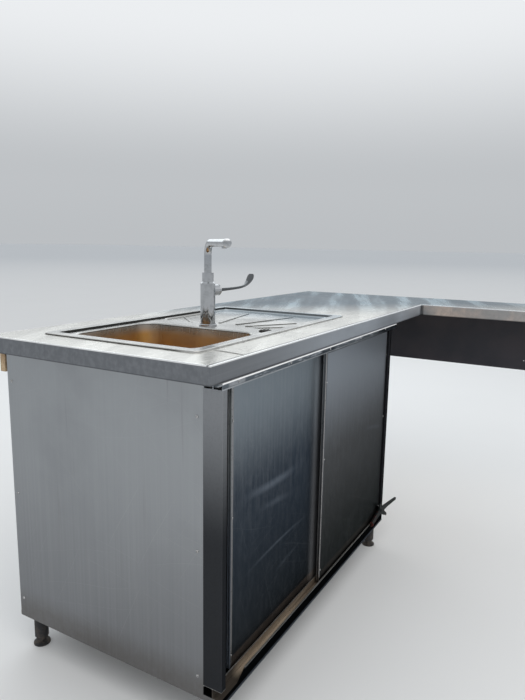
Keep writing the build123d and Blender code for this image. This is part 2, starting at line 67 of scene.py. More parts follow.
# %% Camera
camera_place = Vector((-1.925, -0.719, 1.142))
camera_right = Vector((0.49757, -0.86726, 0.01677)).normalized()
camera_up = Vector((0.14339, 0.10131, 0.98447))
camera_back = camera_right.cross(camera_up).normalized()
camera_up = camera_back.cross(camera_right)
camera_data = bpy.data.cameras.new("camera")
camera_data.sensor_width = 36
camera_data.lens = 30.68
camera_data.clip_end = 400
camera = bpy.data.objects.new("camera", camera_data)
turn = Matrix((camera_right, camera_up, camera_back)).transposed()
camera.matrix_world = Matrix.Translation(camera_place) @ turn.to_4x4()
scene.collection.objects.link(camera)
scene.camera = camera
scene.view_settings.view_transform = "Standard"
print("camera looks along", [round(v, 3) for v in -camera_back])

# %% [markdown]
# ## Floor and sky
# Bare metal has almost no colour of its own: it shows what is round it. So the light is mostly a soft sky
# that darkens towards the horizon. Sheet seen from low down then shades from light to dark as it does in a
# room, and chrome gets its dark band. The floor pales near the counter and meets the sky without a line.

# %% Floor and sky
floor_half = 150.0
floor_mesh = bpy.data.meshes.new("floor")
floor_corners = [(x * floor_half, y * floor_half, 0) for x, y in ((-1, -1), (1, -1), (1, 1), (-1, 1))]
floor_mesh.from_pydata(floor_corners, [], [(0, 1, 2, 3)])
floor = bpy.data.objects.new("floor", floor_mesh)
scene.collection.objects.link(floor)

world = bpy.data.worlds.new("pale_sky")
scene.world = world
world.use_nodes = True
sky_tree = world.node_tree
sky = sky_tree.nodes["Background"]
looking = sky_tree.nodes.new("ShaderNodeTexCoord")
split = sky_tree.nodes.new("ShaderNodeSeparateXYZ")
bands = sky_tree.nodes.new("ShaderNodeValToRGB")
bands.color_ramp.interpolation = "EASE"
heights = (
    (0.0, (0.50, 0.52, 0.54)),
    (0.10, (0.52, 0.54, 0.56)),
    (0.34, (0.84, 0.86, 0.88)),
    (1.0, (0.70, 0.73, 0.76)),
)
stops = bands.color_ramp.elements
while len(stops) < len(heights):
    stops.new(0.5)
for stop, (height, colour) in zip(stops, heights):
    stop.position = height
    stop.color = (*colour, 1)
sky_tree.links.new(looking.outputs["Generated"], split.inputs[0])
sky_tree.links.new(split.outputs["Z"], bands.inputs[0])
sky_tree.links.new(bands.outputs["Color"], sky.inputs["Color"])
sky.inputs["Strength"].default_value = 1.0
print("floor", 2 * floor_half, "m wide")

# %% [markdown]
# ## Lamps
# Two large soft lamps give the light a direction. Each is about as bright as the sky behind it: a small
# lamp of the same power would leave a hard white patch on the worktop and the chrome.


# %% Lamps
def soft_lamp(name, place, target, width, height, watts, colour):
    lamp = bpy.data.lights.new(name, "AREA")
    lamp.shape, lamp.size, lamp.size_y = "RECTANGLE", width, height
    lamp.energy, lamp.color = watts, colour
    holder = bpy.data.objects.new(name, lamp)
    holder.location = place
    aim = Vector(target) - Vector(place)
    holder.rotation_euler = aim.to_track_quat("-Z", "Y").to_euler()
    scene.collection.objects.link(holder)
    print(name, watts, "W")


soft_lamp("cool_lamp", (2.6, 2.4, 3.2), (0.2, 0.2, 0.8), 5.2, 3.2, 50, (0.90, 0.96, 1.0))
soft_lamp("warm_lamp", (-1.4, -1.4, 3.0), (-0.3, 0.0, 0.5), 3.0, 3.0, 32, (1.0, 0.97, 0.93))

# %% [markdown]
# ## Sums with sockets
# A finish is a chain of small sums on noise: this much streak, minus that much wear. Wiring each Math node by
# hand hides the sum, so one class wraps a socket and lets Python's own signs add the nodes. Colours go
# through Mix nodes, because a Math node would turn them grey.


# %% Sums with sockets
class Wire:
    """An output socket of a material. Arithmetic on it adds Math nodes, and add() makes any other node."""

    def __init__(self, tree, socket):
        self.tree, self.socket = tree, socket

    def add(self, kind, settings, sockets, output=0):
        node = self.tree.nodes.new(kind)
        for name, value in settings.items():
            setattr(node, name, value)
        for name, value in sockets.items():
            if isinstance(value, Wire):
                self.tree.links.new(value.socket, node.inputs[name])
            else:
                node.inputs[name].default_value = value
        return Wire(self.tree, node.outputs[output])

    def maths(self, operation, *others):
        values = dict(enumerate((self, *others)))
        return self.add("ShaderNodeMath", {"operation": operation}, values)

    def __add__(self, other):
        return self.maths("ADD", other)

    def __sub__(self, other):
        return self.maths("SUBTRACT", other)

    def __rsub__(self, other):
        return self.add("ShaderNodeMath", {"operation": "SUBTRACT"}, {0: other, 1: self})

    def __mul__(self, other):
        return self.maths("MULTIPLY", other)

    def __truediv__(self, other):
        return self.maths("DIVIDE", other)

    def __abs__(self):
        return self.maths("ABSOLUTE")

    __radd__ = __add__
    __rmul__ = __mul__

    def most(self, other):
        return self.maths("MAXIMUM", other)

    def ramp(self, low, high):
        """0 below low, 1 above high, with a soft change between; low may be the larger number."""
        settings = {"interpolation_type": "SMOOTHSTEP"}
        return self.add("ShaderNodeMapRange", settings, {0: self, 1: low, 2: high, 3: 0.0, 4: 1.0})

    def band(self, low, high, soft):
        """1 between low and high, fading to 0 over the soft distance outside them."""
        return self.ramp(low - soft, low) * self.ramp(high + soft, high)

    def mix(self, plain, marked):
        """The first colour where this mask is 0, the second where it is 1."""
        plain, marked = (c if isinstance(c, Wire) else (*c, 1) for c in (plain, marked))
        return self.add("ShaderNodeMix", {"data_type": "RGBA"}, {0: self, 6: plain, 7: marked}, 2)

    def stretch(self, scale):
        return self.add("ShaderNodeMapping", {}, {"Vector": self, "Scale": scale})

    def noise(self, size=1.0, detail=2.0, rough=0.5):
        sockets = {"Vector": self, "Scale": size, "Detail": detail, "Roughness": rough}
        return self.add("ShaderNodeTexNoise", {}, sockets)

    def spot(self, other):
        """The flat point that has these two coordinates."""
        return self.add("ShaderNodeCombineXYZ", {}, {0: self, 1: other})

    def cell(self, other):
        """Random colour of the square that the two coordinates fall in."""
        corner = self.maths("FLOOR").spot(other.maths("FLOOR"))
        return self.add("ShaderNodeTexWhiteNoise", {"noise_dimensions": "2D"}, {"Vector": corner}, 1)

    def part(self, channel):
        """One channel of a colour: 0 red, 1 green, 2 blue."""
        return self.add("ShaderNodeSeparateColor", {}, {0: self}, channel)

    def along(self, direction):
        """How far the point lies along a direction, in metres."""
        return self.add("ShaderNodeVectorMath", {"operation": "DOT_PRODUCT"}, {0: self, 1: direction}, 1)


def coats(colour, *marks):
    """Lays marks over a colour, one after another. Each is a mask and the mark's own colour."""
    for mask, mark in marks:
        colour = mask.mix(colour, mark)
    return colour


# %% [markdown]
# ## Starting a finish
# Every finish is one Principled shader fed by sums on the point's place. The place comes from object
# coordinates, so a door takes its scratches along when it slides. The tint is the metal's reflection at a
# shallow angle: grimy steel loses it, which is why old doors look so dark from the side.

# %% Starting a finish
finishes = {}


class Finish:
    """A material with its shader and the place of the shaded point, in metres."""

    def __init__(self, name, tint=1.0, **plain):
        packed = bpy.data.materials.get(name)
        if packed:
            packed.name = "packed_" + name
        self.material = bpy.data.materials.new(name)
        self.material.use_nodes = True
        self.tree = self.material.node_tree
        self.shader = self.tree.nodes["Principled BSDF"]
        self.shader.inputs["Specular Tint"].default_value = (tint, tint, tint, 1)
        for socket, value in plain.items():
            self.shader.inputs[socket.replace("_", " ")].default_value = value
        found = self.tree.nodes.new("ShaderNodeTexCoord")
        self.place = Wire(self.tree, found.outputs["Object"])
        axes = ((1, 0, 0), (0, 1, 0), (0, 0, 1))
        self.x, self.y, self.z = (self.place.along(axis) for axis in axes)

    def feed(self, socket, wire):
        self.tree.links.new(wire.socket, self.shader.inputs[socket])

    def paint(self, colour, *marks):
        """The finish's colour, with marks laid over it."""
        self.feed("Base Color", coats(colour, *marks))

    def close(self, relief=None, depth=0.0):
        """Embosses the relief, if there is one, and files the finish."""
        if relief:
            self.feed("Normal", self.place.add("ShaderNodeBump", {}, {"Height": relief, "Distance": depth}))
        finishes[self.material.name] = self.material
        print("finish", self.material.name, len(self.tree.nodes), "nodes")


# %% [markdown]
# ## Marks that steel collects
# Worn stainless has three kinds of marks. Brushing leaves long parallel lines. Use leaves straight scratches
# in every direction: stretched noise would curl them, so the plane is cut into long cells and each cell gets
# one line. Wiping and drips leave cloudy smears, seen mostly as a change of gloss.


# %% Marks that steel collects
def grain(place, direction, fine=700.0, length=3.0):
    """Brushed lines along x, y or z."""
    scale = [fine, fine, fine]
    scale["xyz".index(direction)] = length
    return place.stretch(scale).noise(1.0, 3.0, 0.6)


scratch_angles = (0.25, 1.0, 1.9, 2.75)


def scratches(place, flat, upright, length, lines, width):
    """Straight scratches in a plane given by two directions, with so many lines to a metre. Each cell of a
    layer holds one scratch, and its random colour sets where that lies and how strong it is."""
    layers = []
    for number, angle in enumerate(scratch_angles):
        ahead = Vector(flat) * math.cos(angle) + Vector(upright) * math.sin(angle)
        aside = Vector(upright) * math.cos(angle) - Vector(flat) * math.sin(angle)
        cell_length = length * (1 + 0.4 * number)
        bend = place.noise(3.0, 1.0) * (0.6 + 0.3 * number)
        u = place.along(ahead) * (1 / cell_length)
        v = place.along(aside) * lines + bend + 0.37 * number
        chance = u.cell(v)
        off = abs(v.maths("FRACT") - (chance.part(0) * 0.7 + 0.15)) * (1 / lines)
        ends = abs(u.maths("FRACT") - 0.5).ramp(0.45, 0.28)
        layers.append(off.ramp(width, width * 0.3) * ends * chance.part(1).ramp(0.55, 0.95))
    return reduce(Wire.most, layers)


def smears(place, size=5.0):
    return place.noise(size, 4.0, 0.62).ramp(0.38, 0.68)


# %% [markdown]
# ## Zones of the worktop
# The top is one folded sheet: the flat, a round fold along its edges and the nosing that hangs from it. The
# return is a second sheet, so a weld line crosses where it starts. Each zone is a mask, 1 inside and 0
# outside. Masks could be painted by hand, but worked out from the boxes of the frame's nodes they stay right
# when a size changes.

# %% Zones of the worktop
top_low, top_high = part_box("worktop_sheet")
fold = 4 * mm
sheet = 2 * mm
return_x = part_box("return_core")[0][0] - sheet
nosing_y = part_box("run_core")[0][1] - sheet

top = Finish("worktop_steel", tint=0.95, Specular_IOR_Level=0.02)
under_fold = top.z.ramp(top_high[2] - 0.6 * fold, top_high[2] - 0.9 * fold)
on_top = 1.0 - under_fold
before_return = top.x.ramp(return_x + fold, return_x)
past_nosing = top.y.ramp(nosing_y, nosing_y - fold)
run_edge = top.y.ramp(nosing_y + 1.2 * fold, nosing_y + 0.6 * fold) * before_return
return_edge = top.x.ramp(return_x + 1.2 * fold, return_x + 0.6 * fold) * past_nosing
left_edge = top.x.ramp(top_low[0] + 1.2 * fold, top_low[0] + 0.6 * fold)
on_fold = run_edge.most(return_edge).most(left_edge) * on_top
fold_shade = top.y.band(nosing_y + 1.6 * fold, nosing_y + 2.6 * fold, 0.4 * fold) * before_return * on_top
by_run = top.y.ramp(nosing_y - 3 * fold, nosing_y - fold) * under_fold
inner_corner_shade = top.x.ramp(return_x - 36 * mm, return_x - 6 * mm) * before_return * by_run
low_edge_shade = top.z.ramp(top_low[2] + 3.5 * mm, top_low[2] + 1.5 * mm)
on_return = top.x.ramp(return_x - mm, return_x) * past_nosing
weld = abs(top.x - return_x).ramp(2.2 * mm, 0.8 * mm)
far = (top.x * 0.75 + top.y * 0.65).ramp(0.0, 0.52)
print("nosing at y", round(nosing_y, 3), "and return from x", round(return_x, 3))

# %% [markdown]
# ## The worktop's finish
# The top is satin stainless that has been wiped for years: the brushing runs along the counter and the gloss
# is uneven. Its fold carries a painted highlight, and the nosing under it is painted greyer as painted shade,
# paler towards the far end as painted light; the return's nosing has warm patches of painted reflection. The
# far part of the flat is painted bluer and darker, a painted reflection. Wipe marks are long and slanted, so
# they are noise on a point that is squeezed along one direction and stretched along the other.

# %% The worktop's finish
wipe_ahead, wipe_aside = (0.925, 0.38, 0), (-0.38, 0.925, 0)
wiped = (top.place.along(wipe_ahead) * 0.9).spot(top.place.along(wipe_aside) * 11.0)
top_wipes = wiped.noise(1.0, 3.0, 0.5).ramp(0.42, 0.62)
top_grain = grain(top.place, "x", 420.0, 2.0)
top_streaks = grain(top.place, "x", 70.0, 0.9)
top_smears = smears(top.place, 4.2)
top_scratches = scratches(top.place, (1, 0, 0), (0, 1, 0), 0.11, 60.0, 0.35 * mm)

near_mask = (top_streaks * 0.35 + top_wipes * 0.45).ramp(0.1, 0.8)
near_colour = near_mask.mix((0.575, 0.56, 0.52), (0.725, 0.71, 0.66))
# Painted reflection: the far part of the flat is darker and bluer, and less metallic below.
far_reflection_colour = top_wipes.mix((0.06, 0.105, 0.14), (0.25, 0.335, 0.385))
# Painted reflection: warm patches on the return's nosing.
return_warm_reflection = top_smears.mix((0.60, 0.60, 0.60), (1.0, 0.83, 0.72))
# Painted shade and light: the nosing is greyer than the flat and pales towards the far end.
nosing_colour = coats(
    top.x.ramp(-0.95, 0.0).mix((0.185, 0.195, 0.21), (0.52, 0.56, 0.61)),
    (on_return, return_warm_reflection),
    (top_streaks.ramp(0.35, 0.7) * 0.25, (0.36, 0.37, 0.39)),
)
# Painted highlight: a bright line along the fold, stronger towards the far end.
fold_highlight = on_fold * (0.6 + top.x.ramp(-0.95, -0.1) * 0.3)
top.paint(
    far.mix(near_colour, far_reflection_colour),
    (under_fold, nosing_colour),
    (fold_highlight, (0.84, 0.86, 0.88)),
    (fold_shade * 0.85, (0.16, 0.163, 0.166)),
    # Painted shade: dark where the run's nosing meets the return, and along the nosing's low edge.
    (inner_corner_shade * 0.7 + low_edge_shade * 0.5, (0.06, 0.062, 0.066)),
    (weld * 0.4, (0.10, 0.10, 0.10)),
)
top.feed("Metallic", 1.0 - on_top * (0.04 + far * (0.71 - top_wipes * 0.40)))
top_gloss = 0.19 + top_smears * 0.08 + top_streaks * 0.08 + top_scratches * 0.2 + under_fold * 0.2
top.feed("Roughness", top_gloss + top_wipes * far * 0.10 - far * on_top * 0.09)
top_relief = top_grain * 0.25 + top_streaks * 0.2 - top_scratches * 0.8 + top_smears * 0.05
top.close(top_relief * (1.0 - far * 0.6) - weld * 1.2, 0.00018)

# %% [markdown]
# ## The sink
# The sink is a thinner pressing, softer in gloss than the top. The bowl is painted brown towards the bottom,
# a painted reflection. The corner where the raised rim steps down to the deck is painted dark, as painted
# shade with some dirt, darker at the back. That corner is a rounded rectangle, so the mark is drawn by the
# distance
# to it: the larger of the distances past its long and short sides.

# %% The sink
sink_low, sink_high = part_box("sink")
rim_width = 28 * mm
sink_middle = [(sink_low[axis] + sink_high[axis]) / 2 for axis in (0, 1)]
sink_half = [(sink_high[axis] - sink_low[axis]) / 2 for axis in (0, 1)]
bowl_top = sink_high[2] - 12 * mm

basin = Finish("sink_steel", tint=0.95, Metallic=1.0)
basin_smears = smears(basin.place, 7.0)
basin_scratches = scratches(basin.place, (1, 0, 0), (0, 1, 0), 0.05, 110.0, 0.3 * mm)
basin_grain = grain(basin.place, "x", 500.0, 3.0)
past_long = abs(basin.x - sink_middle[0]) - (sink_half[0] - rim_width)
past_short = abs(basin.y - sink_middle[1]) - (sink_half[1] - rim_width)
past_inner = past_long.most(past_short)
back_side = basin.y.ramp(sink_middle[1], sink_high[1])
# Painted shade, with some dirt: the step inside the rim is dark, darker at the back.
step_shade_and_dirt = past_inner.band(-2.5 * mm, 0.3 * mm, 1.2 * mm) * (0.5 + back_side * 0.45)
rim_groove = past_inner.band(12.5 * mm, 14.5 * mm, 1.5 * mm)
# Painted reflection: the bowl is brown towards the bottom.
bowl_brown_reflection = basin.z.ramp(bowl_top, bowl_top - 30 * mm) * (0.70 + basin_smears * 0.30)
# Painted shade: a dark line at one height, just above the top of the bowl.
depth_shade_line = basin.z.band(sink_high[2] - 11.4 * mm, sink_high[2] - 9.9 * mm, 0.3 * mm) * (1.0 - bowl_brown_reflection)
# Painted light: the drainer's end is painted cooler and bluer.
painted_cool_light = basin.x.ramp(sink_high[0] - 230 * mm, sink_high[0] - 60 * mm)

basin.paint(
    basin_smears.mix((0.47, 0.465, 0.445), (0.575, 0.568, 0.545)),
    (depth_shade_line * 0.8, (0.12, 0.12, 0.115)),
    (bowl_brown_reflection, (0.56, 0.335, 0.115)),
    (rim_groove * 0.5, (0.26, 0.26, 0.265)),
    (painted_cool_light * 0.5, (0.38, 0.47, 0.54)),
    (step_shade_and_dirt, (0.035, 0.036, 0.034)),
)
basin_gloss = 0.22 + basin_smears * 0.10 + basin_scratches * 0.14 + bowl_brown_reflection * 0.14 + step_shade_and_dirt * 0.2
basin.feed("Roughness", basin_gloss)
basin.close(basin_grain * 0.1 + basin_smears * 0.05 - basin_scratches * 0.25, 0.00018)

# %% [markdown]
# ## Scuffs on the doors
# Knees and bags have rubbed long level scuffs into the doors. A scuff could be a painted picture; here it is
# the band near a bent line, so it is drawn as a distance sum: how far the point lies across the line, with a
# bow added, inside the stretch where the rub happened.


# %% Scuffs on the doors
def scuff(place, start, end, width, bow):
    """A soft polished rub from start to end, both (x, z) on a door's face in metres."""
    start, end = Vector((start[0], 0, start[1])), Vector((end[0], 0, end[1]))
    length = (end - start).length
    ahead = (end - start).normalized()
    aside = Vector((-ahead.z, 0, ahead.x))
    share = (place.along(ahead) - start.dot(ahead)) / length
    across = place.along(aside) - start.dot(aside)
    bent = across - share * (1.0 - share) * (4 * bow)
    inside = share.ramp(0.0, 0.45) * share.ramp(1.0, 0.55)
    return abs(bent).ramp(width, 0.0) * inside * (0.45 + inside * 0.55)


door = Finish("door_steel", tint=0.35)
# Start, end, half width, bow and strength of each rub.
door_rubs = (
    ((-0.83, 0.552), (-0.44, 0.538), 0.017, -0.012, 0.9),
    ((-0.74, 0.488), (-0.50, 0.462), 0.014, 0.003, 0.4),
    ((-0.82, 0.332), (-0.38, 0.356), 0.007, 0.012, 0.55),
    ((-0.66, 0.262), (-0.44, 0.292), 0.009, 0.006, 0.25),
    ((-0.06, 0.520), (0.20, 0.470), 0.012, 0.008, 0.3),
)
rubs = reduce(Wire.most, (scuff(door.place, *rub[:4]) * rub[4] for rub in door_rubs))
rubs = rubs * (0.45 + door.place.stretch((60, 60, 30)).noise(1.0, 3.0, 0.7) * 0.9)
print("scuffs on the doors", len(door_rubs))

# %% [markdown]
# ## Doors
# The doors are dark, blue-grey sheets brushed from top to bottom. They are painted lighter near the top and
# nearly black by the floor, as painted shade. The two doors share one finish and are told apart by depth: the
# right one stands in the outer track and is painted lighter, as painted light. Where the inner door runs
# behind the outer one's edge, a lighter band is painted in as painted light. A little floor dirt sits along
# the hem.

# %% Doors
door_grain = grain(door.place, "z", 900.0, 2.0)
door_streaks = grain(door.place, "z", 150.0, 0.8)
door_clouds = door.place.noise(3.5, 3.0, 0.5)
door_mottle = door.place.stretch((70, 70, 26)).noise(1.0, 4.0, 0.7).ramp(0.42, 0.66)
door_scratches = scratches(door.place, (1, 0, 0), (0, 0, 1), 0.16, 26.0, 0.55 * mm)
right_door_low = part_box("right_door_skin")[0]
left_door_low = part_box("left_door_skin")[0]
on_right = door.y.ramp(right_door_low[1] + 18 * mm, right_door_low[1] + 14 * mm)
overlap_light_band = door.x.ramp(right_door_low[0] - 50 * mm, right_door_low[0] - 14 * mm) * (1.0 - on_right)
corner = door.x.ramp(-0.62, -0.80) * door.z.ramp(0.58, 0.72)
flecks = door.place.noise(190.0, 2.0, 0.6).ramp(0.60, 0.70) * door_clouds.ramp(0.42, 0.55) * corner
hem = left_door_low[2] + 26 * mm
grime = door.z.ramp(hem + 8 * mm, hem) * (0.4 + door.place.noise(60.0, 3.0, 0.7) * 0.9)
grime = grime * (1.0 - on_right * 0.7)

# Painted shade: both doors darken towards the floor, and the outer door is painted lighter than the inner
# one, as painted light.
left_low = door.z.ramp(0.10, 0.60).mix((0.038, 0.043, 0.048), (0.054, 0.067, 0.086))
left_tone = door.z.ramp(0.54, 0.80).mix(left_low, (0.235, 0.270, 0.300))
right_low = door.z.ramp(0.15, 0.60).mix((0.048, 0.052, 0.052), (0.115, 0.118, 0.122))
right_tone = door.z.ramp(0.50, 0.84).mix(right_low, (0.36, 0.39, 0.43))
behind = door.z.ramp(0.50, 0.80).mix((0.15, 0.148, 0.15), (0.22, 0.245, 0.275))
height_share = door.z.ramp(0.35, 0.80)
door.paint(
    on_right.mix(left_tone, right_tone),
    # Painted light: a lighter band where the outer door's edge shades the inner door.
    (overlap_light_band * 0.6, behind),
    (door_streaks.ramp(0.35, 0.7) * (0.012 + height_share * 0.17), (0.36, 0.38, 0.40)),
    (grime * 0.75, (0.125, 0.098, 0.078)),
    (flecks * 0.5, (0.34, 0.35, 0.36)),
    (door_mottle * (0.035 + height_share * 0.085), (0.34, 0.36, 0.39)),
    (door_scratches * 0.14, (0.36, 0.38, 0.41)),
    (rubs * 0.34, (0.34, 0.39, 0.46)),
)
door.feed("Metallic", 1.0 - overlap_light_band * 0.6)
door_gloss = 0.31 + door_clouds * 0.08 + door_streaks * 0.04 - rubs * 0.05 + flecks * 0.12 + grime * 0.15
door.feed("Roughness", door_gloss + overlap_light_band * 0.2 + door_scratches * 0.12)
door.close(door_grain * 0.35 + door_streaks * 0.12 + door_clouds * 1.2 - door_scratches * 0.5, 0.00018)

# %% [markdown]
# ## Cabinet panels
# The sides, the back and the cabinet's floor are plain brushed sheet. A thin folded panel is never quite
# flat: a slow wave a few tenths of a millimetre high bends what it reflects, and that is what tells the eye
# it is sheet metal. The wave goes into the bump together with faint brushing.

# %% Cabinet panels
panel = Finish("cabinet_steel", tint=0.7, Metallic=1.0)
panel_grain = grain(panel.place, "z", 900.0, 2.0)
panel_streaks = grain(panel.place, "z", 130.0, 1.0)
panel_wave = panel.place.noise(2.2, 1.0, 0.4)
panel_smears = smears(panel.place, 3.0)
panel_scratches = scratches(panel.place, (0.7, 0.7, 0), (0, 0, 1), 0.14, 24.0, 0.5 * mm)
panel_drips = panel.place.stretch((26, 26, 1.2)).noise(1.0, 3.0, 0.6).ramp(0.58, 0.72)
panel_drips = panel_drips * panel.z.ramp(0.2, 0.6)
panel_hem = panel.z.ramp(0.20, 0.11) * (0.35 + panel.place.noise(40.0, 4.0, 0.7) * 0.9)
panel.paint(
    # Painted shade: the panels darken towards the floor.
    panel.z.ramp(0.05, 0.85).mix((0.20, 0.205, 0.215), (0.36, 0.375, 0.39)),
    (panel_streaks.ramp(0.3, 0.75) * 0.16, (0.43, 0.445, 0.46)),
    (panel_smears * 0.30, (0.27, 0.28, 0.295)),
    (panel_scratches * 0.22, (0.55, 0.56, 0.57)),
    (panel_hem * 0.6, (0.12, 0.105, 0.09)),
    (panel_drips * 0.4, (0.19, 0.185, 0.18)),
)
panel_gloss = 0.27 + panel_smears * 0.13 + panel_streaks * 0.06 + panel_scratches * 0.12
panel.feed("Roughness", panel_gloss + panel_drips * 0.1)
panel.close(panel_wave * 8.0 + panel_grain * 0.3 + panel_streaks * 0.2 - panel_scratches * 0.3, 0.00022)

# %% [markdown]
# ## Edge aluminium
# The doors' edge strips are soft anodised aluminium with grey spots of corrosion. They are painted darker
# towards the floor, as painted shade. The strip at each door's left end has its own tone: painted light on
# the outer door's flank, and painted shade from the post on the inner one. One finish holds them all, told
# apart by their place.

# %% Edge aluminium
edging = Finish("edge_aluminium", tint=0.4)
edging_spots = edging.place.noise(220.0, 2.0, 0.6).ramp(0.60, 0.70)
edging_lines = grain(edging.place, "z", 900.0, 6.0)
outer_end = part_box("right_door_edge_strips")[0][0]
inner_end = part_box("left_door_edge_strips")[0][0]
outer_flank_light = edging.x.ramp(outer_end + 1.5 * mm, outer_end + 0.8 * mm) * edging.y.ramp(-20 * mm, -30 * mm)
shaded_end = edging.x.ramp(inner_end + 1.5 * mm, inner_end + 0.8 * mm)
shaded_colour = edging.z.ramp(0.40, 0.80).mix((0.085, 0.10, 0.125), (0.30, 0.32, 0.325))
edging.paint(
    # Painted shade: the strips darken towards the floor.
    edging.z.ramp(0.75, 0.15).mix((0.19, 0.20, 0.22), (0.075, 0.076, 0.082)),
    # Painted light on the outer door's left flank.
    (outer_flank_light, (0.44, 0.43, 0.42)),
    (shaded_end, shaded_colour),
    (edging_spots * 0.7, (0.13, 0.125, 0.12)),
)
edging.feed("Metallic", 1.0 - shaded_end * 0.85)
edging.feed("Roughness", 0.28 + edging_spots * 0.3 + edging_lines * 0.12)
edging.close(edging_lines * 0.4 - edging_spots * 0.8, 0.00015)

# %% [markdown]
# ## Zones of rails and posts
# The rails and posts are the same metal as the strips, but each part of them has its own tone: the ledge
# under the nosing carries a painted highlight, the upper rail's face is dark and blotchy with a painted dark
# reflection in it, the beads carry painted highlights as thin lines, the posts and the fascia by the floor
# are painted dark as painted shade, and brown dust lies in the lower track, with painted shade in it.
# Separate finishes would cut the rails up, so they share one, and each zone is told by its height.

# %% Zones of rails and posts
upper_low, upper_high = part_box("upper_rail")
lower_low, lower_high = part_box("lower_rail")
post_low, post_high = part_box("left_post")
track_floor = lower_low[2] + 16.5 * mm
track_y = (lower_low[1] + 3 * mm, lower_low[1] + 27.5 * mm)
bead = 3 * mm

rail = Finish("rail_aluminium", tint=0.3, Metallic=1.0)
light_stretch = rail.x.band(-0.895, -0.84, 0.01)
dark_reflection_patch = rail.x.band(-0.42, -0.35, 0.025)
dark_tip = rail.x.ramp(upper_high[0] - 260 * mm, upper_high[0] - 150 * mm)
# Painted highlight: the ledge under the nosing is white and less metallic; its inner part gets painted shade.
ledge_highlight = rail.z.ramp(upper_high[2] - 3.2 * mm, upper_high[2] - 2.4 * mm)
ledge_shade = ledge_highlight * rail.y.ramp(nosing_y - 5.5 * mm, nosing_y - 3.5 * mm)
upper_bead = rail.z.band(upper_low[2], upper_low[2] + bead, 0.3 * mm)
on_post = rail.z.band(post_low[2] + mm, post_high[2] - mm, 0.5 * mm)
on_right_post = rail.x.ramp(0.0, 0.1)
on_lower = rail.z.ramp(lower_high[2] + mm, lower_high[2])
high_bead = rail.z.band(lower_high[2] - bead, lower_high[2], 0.4 * mm)
lower_beads = high_bead.most(rail.z.band(lower_low[2], lower_low[2] + bead, 0.4 * mm))
low_line = rail.z.ramp(lower_low[2] + 7 * mm, lower_low[2] + 4 * mm)
lip = rail.z.ramp(lower_high[2] - 1.6 * mm, lower_high[2] - 0.8 * mm)
in_track = rail.y.band(*track_y, 0.4 * mm) * rail.z.ramp(lower_high[2] - 0.3 * mm, lower_high[2] - 1.5 * mm)
in_track = in_track * rail.z.ramp(track_floor - 6 * mm, track_floor - 5 * mm)
track_shade = rail.z.ramp(track_floor + mm, lower_high[2]).most(rail.x.ramp(-0.60, -0.38))
print("upper rail from", round(upper_low[2], 3), "to", round(upper_high[2], 3))

# %% [markdown]
# ## The finish of rails and posts
# The colour is laid on in coats: first the upper rail, then the posts, the fascia and the dusty track, each
# kept in its place by its mask. Dust is not metal, so it takes the metallic share away where it lies.

# %% The finish of rails and posts
rail_blotches = rail.place.stretch((22, 200, 160)).noise(1.0, 4.0, 0.65).ramp(0.46, 0.62)
rail_lines = grain(rail.place, "x", 700.0, 5.0)
track_dust = rail.place.stretch((5, 160, 160)).noise(1.0, 4.0, 0.6).ramp(0.35, 0.65)

# Painted shade: the left post darkens towards the floor, and the right post is dark all over.
post_left = rail.z.ramp(0.48, 0.85).mix((0.040, 0.042, 0.046), (0.28, 0.29, 0.305))
post_colour = on_right_post.mix(post_left, (0.035, 0.036, 0.04))
# Painted shade and highlights: the fascia is almost black, and its beads, lip and low line are painted as
# light lines.
fascia_colour = coats(
    (lower_beads * 0.9).mix((0.008, 0.009, 0.010), (0.085, 0.09, 0.095)),
    (lip * 0.6, (0.62, 0.60, 0.56)),
    (low_line * 0.85, (0.13, 0.145, 0.165)),
)
# Brown dust, with painted shade: darker up the track's walls and along its right part, and black at its left
# end.
track_colour = coats(
    track_dust.mix((0.46, 0.375, 0.285), (0.34, 0.27, 0.20)),
    (track_shade * 0.8, (0.115, 0.085, 0.062)),
    (rail.x.ramp(-0.80, -0.85) * 0.92, (0.018, 0.015, 0.013)),
)
rail.paint(
    rail.x.ramp(-0.6, 0.1).mix((0.15, 0.17, 0.19), (0.30, 0.33, 0.36)),
    (rail_blotches * 0.85, (0.50, 0.525, 0.56)),
    # Painted reflection: a dark patch on the upper rail's face.
    (dark_reflection_patch * 0.7, (0.045, 0.052, 0.065)),
    # A lighter stretch near the rail's left end.
    (light_stretch * 0.7, (0.44, 0.45, 0.47)),
    # Painted highlight along the upper rail's lower bead.
    (upper_bead * 0.7, (0.46, 0.48, 0.50)),
    (dark_tip * 0.85, (0.035, 0.042, 0.055)),
    (ledge_highlight, (1.0, 1.0, 1.0)),
    (ledge_shade * 0.85, (0.08, 0.082, 0.085)),
    (on_post, post_colour),
    (on_lower, fascia_colour),
    (in_track, track_colour),
)
rail.feed("Metallic", 1.0 - in_track * 0.9 - ledge_highlight * 0.75)
rail.feed("Roughness", 0.34 + rail_blotches * 0.1 + on_lower * 0.1 + on_post * 0.05 + in_track * 0.3)
rail.close(rail_lines * 0.35 + in_track * track_dust * 0.5, 0.00015)

# %% [markdown]
# ## Chrome and polished steel
# The tap is chromed brass, the brightest piece of all, dulled by fingerprints and specks of scale. Its lever
# is painted much darker, a painted dark reflection. The waste fitting and the screws are polished steel with
# finer scratches.

# %% Chrome and polished steel
chrome = Finish("tap_chrome", tint=0.9, Metallic=1.0)
chrome_haze = chrome.place.noise(60.0, 4.0, 0.6).ramp(0.45, 0.7)
chrome_specks = chrome.place.noise(900.0, 1.0, 0.5).ramp(0.68, 0.74)
on_lever = chrome.x.ramp(-0.432, -0.425) * chrome.z.ramp(1.06, 1.05)
chrome_colour = chrome_haze.mix((0.50, 0.51, 0.525), (0.40, 0.41, 0.42))
